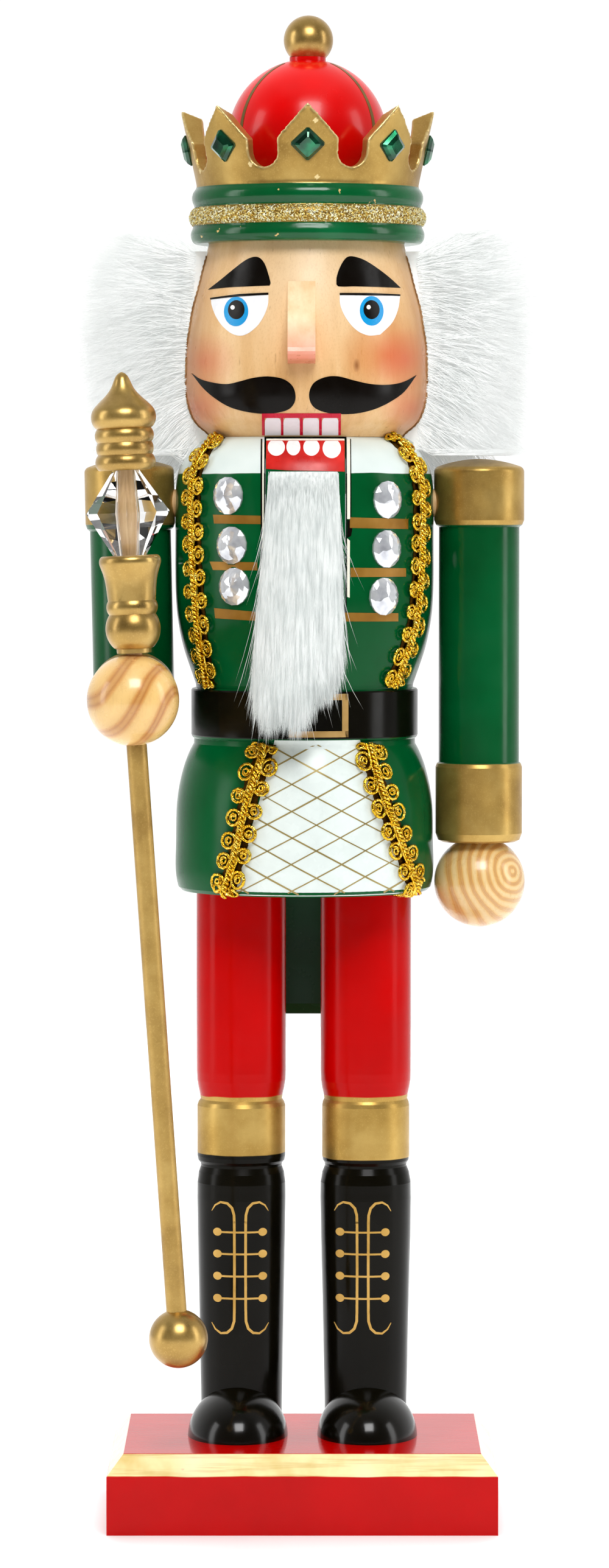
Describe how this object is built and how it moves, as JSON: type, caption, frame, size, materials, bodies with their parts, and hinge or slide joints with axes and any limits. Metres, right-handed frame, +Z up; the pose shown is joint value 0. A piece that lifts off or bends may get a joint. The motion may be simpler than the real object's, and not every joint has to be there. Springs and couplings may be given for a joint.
{
  "type": "nutcracker figure",
  "caption": "Standing wooden nutcracker soldier with crown, white beard and sceptre; a lever down the back works the hinged jaw.",
  "frame": {"origin": "centre of the base board's underside", "axes": "+Z up along the figure; the figure faces -Y; +X is the figure's own left, where the straight arm hangs"},
  "size_m": [0.1122, 0.1106, 0.381],
  "materials": {
    "base_paint": "gloss red paint with a cream and gold chamfer, on wood",
    "black_gloss_paint": "black gloss paint on wood",
    "leg_paint": "red trousers, gold knee band and black boot painted on turned wood",
    "body_paint": "green jacket, black belt and green skirt painted on turned wood",
    "lever_paint": "green paint on a wooden board, red and white at the mouth",
    "pin_steel": "plain wire steel",
    "white_pile": "long white faux fur pile",
    "face_paint": "flesh tone stain on turned wood",
    "nose_paint": "pink flesh tone paint on wood",
    "gold_paint": "satin metallic gold paint on wood",
    "crown_paint": "satin metallic gold paint over a green hat band, on wood",
    "red_dome_paint": "gloss red paint on wood",
    "green_stone": "foil backed faceted green stone",
    "clear_stone": "foil backed faceted clear stone",
    "gold_gimp": "woven metallic gold gimp braid",
    "arm_paint": "green sleeve with gold shoulder and cuff painted on turned wood",
    "bare_wood": "clear lacquered natural wood",
    "clear_plastic": "clear faceted acrylic bead",
    "dowel_wood": "plain sanded dowel"
  },
  "bodies": {
    "figure": {"base": "base_paint", "foot_left": "black_gloss_paint", "foot_right": "black_gloss_paint", "leg_left": "leg_paint", "leg_right": "leg_paint", "body": "body_paint", "pivot_pin": "pin_steel", "head": "face_paint", "nose": "nose_paint", "hair": "white_pile", "crown": "crown_paint", "crown_dome": "red_dome_paint", "crown_finial": "gold_paint", "crown_gems": "green_stone", "jacket_gems": "clear_stone", "coat_braid_left": "gold_gimp", "coat_braid_right": "gold_gimp", "skirt_braid_left": "gold_gimp", "skirt_braid_right": "gold_gimp", "arm_left": "arm_paint", "hand_left": "bare_wood", "arm_right_upper": "arm_paint", "arm_right_forearm": "arm_paint", "hand_right": "bare_wood", "sceptre_dowel": "dowel_wood", "sceptre_rod": "gold_paint", "sceptre_end_ball": "gold_paint", "sceptre_cup": "gold_paint", "sceptre_crystal": "clear_plastic", "sceptre_finial": "gold_paint", "leg_dowels_top": "dowel_wood", "leg_dowels_base": "dowel_wood", "shoulder_dowels": "dowel_wood", "head_dowels": "dowel_wood", "crown_dowel": "dowel_wood", "wrist_dowels": "dowel_wood", "elbow_dowel": "dowel_wood"},
    "lever": {"jaw_lever": "lever_paint"},
    "beard": {"beard": "white_pile"}
  },
  "joints": [
    {"name": "jaw_hinge", "type": "hinge", "parent": "figure", "child": "lever", "pos_m": [0, -0.004, 0.243], "axis": [1, 0, 0], "range_deg": [0, 25]},
    {"name": "beard_hang", "type": "hinge", "parent": "lever", "child": "beard", "pos_m": [0, -0.0276, 0.2645], "axis": [1, 0, 0], "range_deg": [-25, 0]}
  ],
  "couplings": [
    {"joint": "beard_hang", "follows": "jaw_hinge", "ratio": -1}
  ]
}
